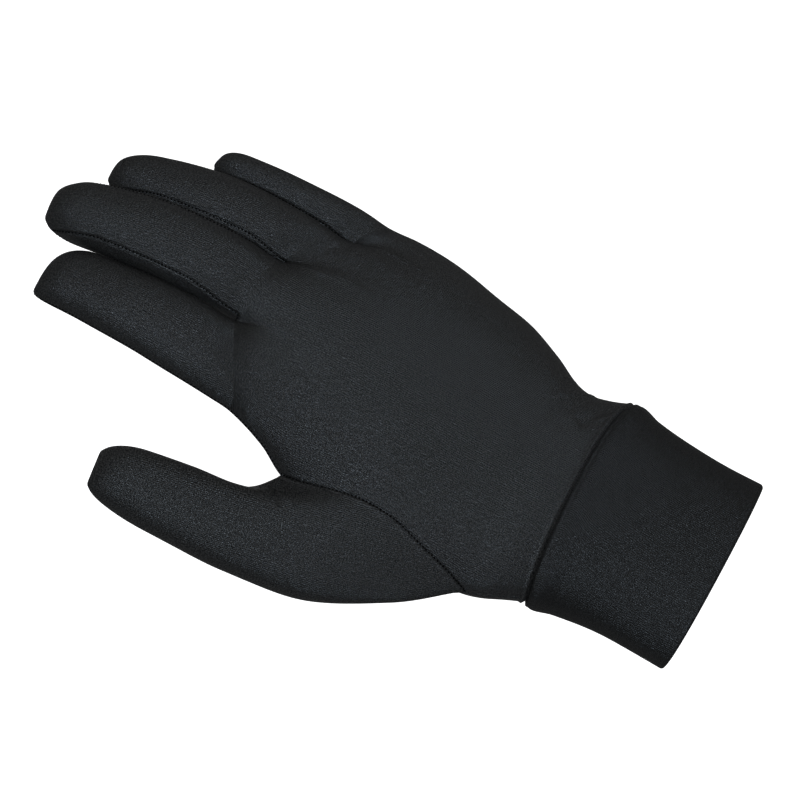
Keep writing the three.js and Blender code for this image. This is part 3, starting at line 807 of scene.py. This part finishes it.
def mesh_object(name, vertices, faces, material, uv=None, smooth_shading=True):
    """A mesh object at the origin from arrays in millimetres, with a UV map in millimetres."""
    mesh = bpy.data.meshes.new(name)
    mesh.vertices.add(len(vertices))
    mesh.vertices.foreach_set("co", (vertices * MM).astype(np.float32).ravel())
    sides = faces.shape[1]
    mesh.loops.add(faces.size)
    mesh.loops.foreach_set("vertex_index", faces.astype(np.int32).ravel())
    mesh.polygons.add(len(faces))
    mesh.polygons.foreach_set("loop_start", np.arange(0, faces.size, sides, dtype=np.int32))
    mesh.polygons.foreach_set("use_smooth", np.full(len(faces), smooth_shading))
    if uv is not None:
        layer = mesh.uv_layers.new(name="knit")
        layer.data.foreach_set("uv", uv[faces.ravel()].astype(np.float32).ravel())
    mesh.update(calc_edges=True)
    mesh.validate()
    made = bpy.data.objects.new(name, mesh)
    bpy.context.scene.collection.objects.link(made)
    mesh.materials.append(material)
    return made


def rim_of(faces):
    """Edges that only one triangle of the piece has, in that triangle's direction."""
    ways = np.concatenate([faces[:, [0, 1]], faces[:, [1, 2]], faces[:, [2, 0]]])
    key = ways[:, 0].astype(np.int64) * (faces.max() + 1) + ways[:, 1]
    back = ways[:, 1].astype(np.int64) * (faces.max() + 1) + ways[:, 0]
    return ways[~np.isin(key, back)]


def cloth(name, wall):
    """Vertices, triangles and knit places of a piece as a closed wall: the outer face with its
    relief, the same face moved inwards by the wall, and a band round the rim."""
    _, _, relief, knit_place = SKINS[name]
    pool, own = pool_faces[name]
    used, where = np.unique(pool.ravel(), return_index=True)
    faces = np.searchsorted(used, pool)
    pick = own.ravel()[where]
    height = relief[pick]
    outer = POOL[used] + NORMALS[used] * height[:, :1]
    inner = POOL[used] + NORMALS[used] * (height[:, 1:] - wall)
    count = len(used)
    rim = rim_of(faces)
    band = np.concatenate(
        [
            np.stack([rim[:, 0], rim[:, 0] + count, rim[:, 1]], 1),
            np.stack([rim[:, 1], rim[:, 0] + count, rim[:, 1] + count], 1),
        ]
    )
    vertices = np.concatenate([outer, inner])
    triangles = np.concatenate([faces, faces[:, ::-1] + count, band])
    return vertices, triangles, np.concatenate([knit_place[pick]] * 2)


def socket(group, name, kind, default=None, out=False):
    """Adds an input or output to a node group."""
    made = group.interface.new_socket(
        name=name, in_out="OUTPUT" if out else "INPUT", socket_type=kind
    )
    if default is not None:
        made.default_value = default
    return made


def node(tree, kind, inputs=None, **settings):
    """Adds a node, sets its properties, and links or sets its inputs by name or number."""
    made = tree.nodes.new(kind)
    for key, value in settings.items():
        setattr(made, key, value)
    for key, value in (inputs or {}).items():
        if isinstance(value, bpy.types.NodeSocket):
            tree.links.new(value, made.inputs[key])
        else:
            made.inputs[key].default_value = value
    return made


def maths(tree, operation, *values):
    """The result of one operation on numbers or sockets."""
    return node(tree, "ShaderNodeMath", dict(enumerate(values)), operation=operation).outputs[0]


def fine_knit():
    """Jersey knit: rounded columns of stitches along the cloth, by a cosine across it, each broken
    into loops by a sine along it, with uneven yarn by noise. Gives a height, a light-and-dark
    speckle and a slow unevenness."""
    group = bpy.data.node_groups.new("fine_knit", "ShaderNodeTree")
    socket(group, "Place", "NodeSocketVector")
    socket(group, "Wale Width", "NodeSocketFloat", 0.7)
    socket(group, "Course Height", "NodeSocketFloat", 0.55)
    socket(group, "Yarn Unevenness", "NodeSocketFloat", 0.5)
    for name in ("Height", "Speckle", "Slow"):
        socket(group, name, "NodeSocketFloat", out=True)
    entry = group.nodes.new("NodeGroupInput")
    leave = group.nodes.new("NodeGroupOutput")
    place = entry.outputs["Place"]
    parts = node(group, "ShaderNodeSeparateXYZ", {0: place})
    wander = node(group, "ShaderNodeTexNoise", {"Vector": place, "Scale": 0.35, "Detail": 1.0})
    drift = maths(group, "MULTIPLY", maths(group, "SUBTRACT", wander.outputs[0], 0.5), 0.9)
    across = maths(group, "ADD", parts.outputs[0], drift)
    wale = maths(group, "DIVIDE", across, entry.outputs["Wale Width"])
    course = maths(group, "DIVIDE", parts.outputs[1], entry.outputs["Course Height"])
    turn = maths(group, "MULTIPLY", wale, 2 * math.pi)
    column = maths(group, "MULTIPLY_ADD", maths(group, "COSINE", turn), 0.5, 0.5)
    slant = maths(group, "ABSOLUTE", maths(group, "SINE", maths(group, "MULTIPLY", wale, math.pi)))
    loop_turn = maths(group, "MULTIPLY", maths(group, "ADD", course, slant), 2 * math.pi)
    loops = maths(group, "MULTIPLY_ADD", maths(group, "SINE", loop_turn), 0.5, 0.5)
    cell = node(group, "ShaderNodeCombineXYZ", {0: wale, 1: course, 2: 0.0})
    grain = node(
        group,
        "ShaderNodeTexNoise",
        {"Vector": cell.outputs[0], "Scale": 1.15, "Detail": 1.5, "Roughness": 0.6},
    )
    uneven = maths(group, "SUBTRACT", grain.outputs[0], 0.5)
    uneven = maths(group, "MULTIPLY", uneven, entry.outputs["Yarn Unevenness"])
    height = maths(group, "MULTIPLY_ADD", loops, 0.4, column)
    height = maths(group, "MULTIPLY_ADD", uneven, 5.0, height)
    slow = node(group, "ShaderNodeTexNoise", {"Vector": place, "Scale": 0.06, "Detail": 2.0})
    group.links.new(height, leave.inputs["Height"])
    group.links.new(grain.outputs[0], leave.inputs["Speckle"])
    group.links.new(slow.outputs[0], leave.inputs["Slow"])
    return group


KNIT_GROUP = fine_knit()


def surface(name, inputs):
    """A material, and its surface shader with these constant inputs."""
    material = bpy.data.materials.new(name)
    material.use_nodes = True
    shader = material.node_tree.nodes["Principled BSDF"]
    for key, value in inputs.items():
        shader.inputs[key].default_value = value
    return material, shader


def knit_material(name, darkest, lightest, roughness, shine):
    """Near-black stretch jersey: dark yarn with a cool shine, a fine lengthways rib and a speckle
    that makes the yarn lighter and smoother from point to point."""
    material, shader = surface(
        name, {"Specular IOR Level": shine, "Specular Tint": (0.82, 0.91, 1.0, 1.0)}
    )
    tree = material.node_tree
    place = node(tree, "ShaderNodeUVMap", uv_map="knit")
    weave = node(tree, "ShaderNodeGroup", node_tree=KNIT_GROUP)
    tree.links.new(place.outputs[0], weave.inputs["Place"])
    speckle = weave.outputs["Speckle"]
    lightness = node(
        tree, "ShaderNodeMapRange", {"Value": speckle, "From Min": 0.4, "From Max": 0.64}
    )
    colour = node(
        tree,
        "ShaderNodeMix",
        {"Factor": lightness.outputs[0], "A": darkest, "B": lightest},
        data_type="RGBA",
    )
    dullness = node(
        tree,
        "ShaderNodeMapRange",
        {
            "Value": speckle,
            "From Min": 0.4,
            "From Max": 0.62,
            "To Min": roughness[0],
            "To Max": roughness[1],
        },
    )
    fine = node(
        tree,
        "ShaderNodeBump",
        {"Height": weave.outputs["Height"], "Strength": 0.8, "Distance": 0.00016},
    )
    soft = node(
        tree,
        "ShaderNodeBump",
        {
            "Height": weave.outputs["Slow"],
            "Strength": 0.5,
            "Distance": 0.0012,
            "Normal": fine.outputs[0],
        },
    )
    tree.links.new(colour.outputs["Result"], shader.inputs["Base Color"])
    tree.links.new(dullness.outputs[0], shader.inputs["Roughness"])
    tree.links.new(soft.outputs[0], shader.inputs["Normal"])
    return material


knit = knit_material(
    "knit", (0.002, 0.002, 0.0019, 1.0), (0.035, 0.0345, 0.0335, 1.0), (0.45, 0.29), 0.34
)
cuff_knit = knit_material(
    "cuff_knit", (0.004, 0.004, 0.0039, 1.0), (0.018, 0.0177, 0.0172, 1.0), (0.42, 0.33), 0.25
)
# Dull black sewing thread, darker than the cloth
thread, _ = surface(
    "sewing_thread",
    {
        "Base Color": (0.0015, 0.0015, 0.0016, 1.0),
        "Roughness": 0.8,
        "Specular IOR Level": 0.02,
    },
)


def dress(made, material_slot, *nodes):
    """Puts a piece on the one body and hides the nodes that it stands for."""
    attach(made, "root")
    if nodes:
        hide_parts(*nodes)


for name in SKINS:
    made_of = (CUFF_WALL, cuff_knit, "cuff_knit") if name == "cuff" else (WALL, knit, "knit")
    wall, finish, material_slot = made_of
    vertices, triangles, uv = cloth(name, wall)
    made = mesh_object("knitted_" + name, vertices, triangles, finish, uv)
    dress(made, material_slot, name)


# The sewing stitches, whose rings shrink to the share STITCH_ENDS of their radius at both ends. A
# seam's direction is taken over the distance LOOK_AHEAD.
STITCH_PITCH = 1.3
STITCH_LENGTH = 0.7
STITCH_RADIUS = 0.29
STITCH_SLANT = 0.2
STITCH_DEPTH = 0.1
STITCH_ARCH = 0.12
STITCH_ENDS = 0.1
STITCH_ROWS, STITCH_SIDES = 6, 6
LOOK_AHEAD = 0.1
SEARCH_BLOCK = 60


def resampled(line, pitch):
    """Points at an even pitch along a line, and the line's direction at each."""
    run = np.concatenate([[0.0], np.cumsum(np.linalg.norm(np.diff(line, axis=0), axis=1))])
    count = max(2, int(run[-1] / pitch))
    at = np.linspace(0.5 * pitch, run[-1] - 0.5 * pitch, count)
    here = np.stack([np.interp(at, run, line[:, k]) for k in range(3)], 1)
    ahead = np.stack([np.interp(at + LOOK_AHEAD, run, line[:, k]) for k in range(3)], 1)
    return here, unit(ahead - here)


def outward(here):
    """The skin's outward direction at the pool point nearest to each given point, in blocks."""
    found = []
    for block in np.array_split(here, max(1, len(here) // SEARCH_BLOCK)):
        found.append(((block[:, None, :] - POOL) ** 2).sum(-1).argmin(1))
    return NORMALS[np.concatenate(found)]


def stitches(name, line):
    """A row of short threads along a seam. Each is a capsule of rings round its axis: the axis
    arches by one less the square of the way along it, and a ring's radius is the root of one less
    the fourth power."""
    here, way = resampled(line, STITCH_PITCH)
    up = outward(here)
    cross = unit(way + STITCH_SLANT * np.cross(up, way))
    u, v = np.meshgrid(
        even(STITCH_ROWS, -1.0, 1.0), even(STITCH_SIDES, 0.0, 2 * math.pi)[:-1], indexing="ij"
    )
    thick = STITCH_RADIUS * np.sqrt(np.maximum(1 - u**4, STITCH_ENDS**2))
    third = unit(np.cross(cross, up))
    along = (STITCH_LENGTH / 2 * u)[None, :, :, None] * cross[:, None, None, :]
    arch = (STITCH_ARCH * (1 - u**2) - STITCH_DEPTH)[None, :, :, None] * up[:, None, None, :]
    ring = (thick * np.cos(v))[None, :, :, None] * third[:, None, None, :]
    rise = (thick * np.sin(v))[None, :, :, None] * up[:, None, None, :]
    grid = here[:, None, None, :] + along + arch + ring + rise
    count, rows, around = grid.shape[:3]
    index = np.arange(rows * around).reshape(rows, around)
    a, b = index[:-1], np.roll(index[:-1], -1, axis=1)
    c, d = index[1:], np.roll(index[1:], -1, axis=1)
    one = np.stack([a, b, d, c], -1).reshape(-1, 4)
    faces = (one[None] + (np.arange(count) * rows * around)[:, None, None]).reshape(-1, 4)
    dress(mesh_object(name, grid.reshape(-1, 3), faces, thread), "knit")


def strip_edge(i, side):
    """The seam of a strip over the back or the palm: down one finger, across and up the next."""
    share = 0.0 if side > 0 else 1.0
    near, far = crotch_angles(i, share, STRIP_STEPS)
    near = finger_skin(FINGERS[i], STRIP_STEPS, near)[::-1]
    far = finger_skin(FINGERS[i + 1], STRIP_STEPS, far)
    return np.concatenate([near, crotch_line(i, share)[1:-1], far])


def side_edge(finger, degrees, start):
    """The seam along the outer side of the index or little finger, from the hand to the tip."""
    shares = PALM_STEPS[PALM_STEPS >= start]
    place = np.array([-1.0 if degrees else 1.0])
    root = root_point(finger, np.array([float(degrees)]))
    hand = hand_skin(place[None, :], root[None, :], 0.0, shares[:, None], 1)[:, 0]
    return np.concatenate([hand, finger_skin(finger, FINGER_STEPS, float(degrees))[1:]])


for i, name in enumerate(("index_middle", "middle_ring", "ring_little")):
    stitches(name + "_back_stitches", strip_edge(i, 1))
    stitches(name + "_palm_stitches", strip_edge(i, -1))
stitches("index_side_stitches", side_edge(FINGERS[0], 180, HOLE_TO))
stitches("little_side_stitches", side_edge(FINGERS[-1], 0, 0.0))
stitches("thumb_seam_stitches", np.concatenate([hole_rim(1), hole_rim(-1)[::-1][1:]]))

# Floor, light and camera, in metres. TO_CAMERA points from the glove's middle to the camera.
FLOOR = -0.30
FLOOR_REACH = 30.0
TARGET = Vector((-0.1182, 0.0001, 0.0015))
TO_CAMERA = Vector((0.0, -0.4695, 0.8829))
CAMERA_DISTANCE = 1.4
ROLL = math.radians(29)

pale, _ = surface(
    "pale_floor",
    {
        "Base Color": (0.9, 0.9, 0.9, 1.0),
        "Roughness": 0.9,
        "Emission Color": (1.0, 1.0, 1.0, 1.0),
        "Emission Strength": 1.0,
    },
)
corners = np.array([[-1, -1, 0], [1, -1, 0], [1, 1, 0], [-1, 1, 0]]) * FLOOR_REACH
ground = mesh_object(
    "floor",
    (corners + [0, 0, FLOOR]) / MM,
    np.array([[0, 1, 2, 3]]),
    pale,
    smooth_shading=False,
)
ground.visible_diffuse = False
ground.visible_glossy = False

world = bpy.data.worlds.new("soft_room")
bpy.context.scene.world = world
world.use_nodes = True
background = world.node_tree.nodes["Background"]
background.inputs["Color"].default_value = (1.0, 1.0, 1.0, 1.0)
background.inputs["Strength"].default_value = 0.12


def area_light(name, where, energy, size, colour):
    """A square soft light at a place, turned to the middle of the glove."""
    data = bpy.data.lights.new(name, "AREA")
    data.energy = energy
    data.size = size
    data.color = colour
    lamp = bpy.data.objects.new(name, data)
    where = Vector(where)
    facing = (TARGET - where).to_track_quat("-Z", "Y")
    lamp.matrix_world = Matrix.LocRotScale(where, facing, None)
    bpy.context.scene.collection.objects.link(lamp)


area_light("front_light", (-0.12, -0.62, 1.15), 12.8, 0.3, (0.84, 0.92, 1.0))
area_light("ceiling_light", (-0.4, 0.3, 1.25), 3.6, 0.9, (1.0, 0.93, 0.86))

camera_data = bpy.data.cameras.new("camera")
camera_data.sensor_width = 36.0
camera_data.lens = 192.15
camera_data.dof.use_dof = False
camera = bpy.data.objects.new("camera", camera_data)
right = Vector((math.cos(ROLL), math.sin(ROLL) * TO_CAMERA.z, -math.sin(ROLL) * TO_CAMERA.y))
up = TO_CAMERA.cross(right)
turn = Matrix((right, up, TO_CAMERA)).transposed().to_4x4()
camera.matrix_world = Matrix.Translation(TARGET + TO_CAMERA * CAMERA_DISTANCE) @ turn
bpy.context.scene.collection.objects.link(camera)
bpy.context.scene.camera = camera
bpy.context.scene.view_settings.view_transform = "Standard"
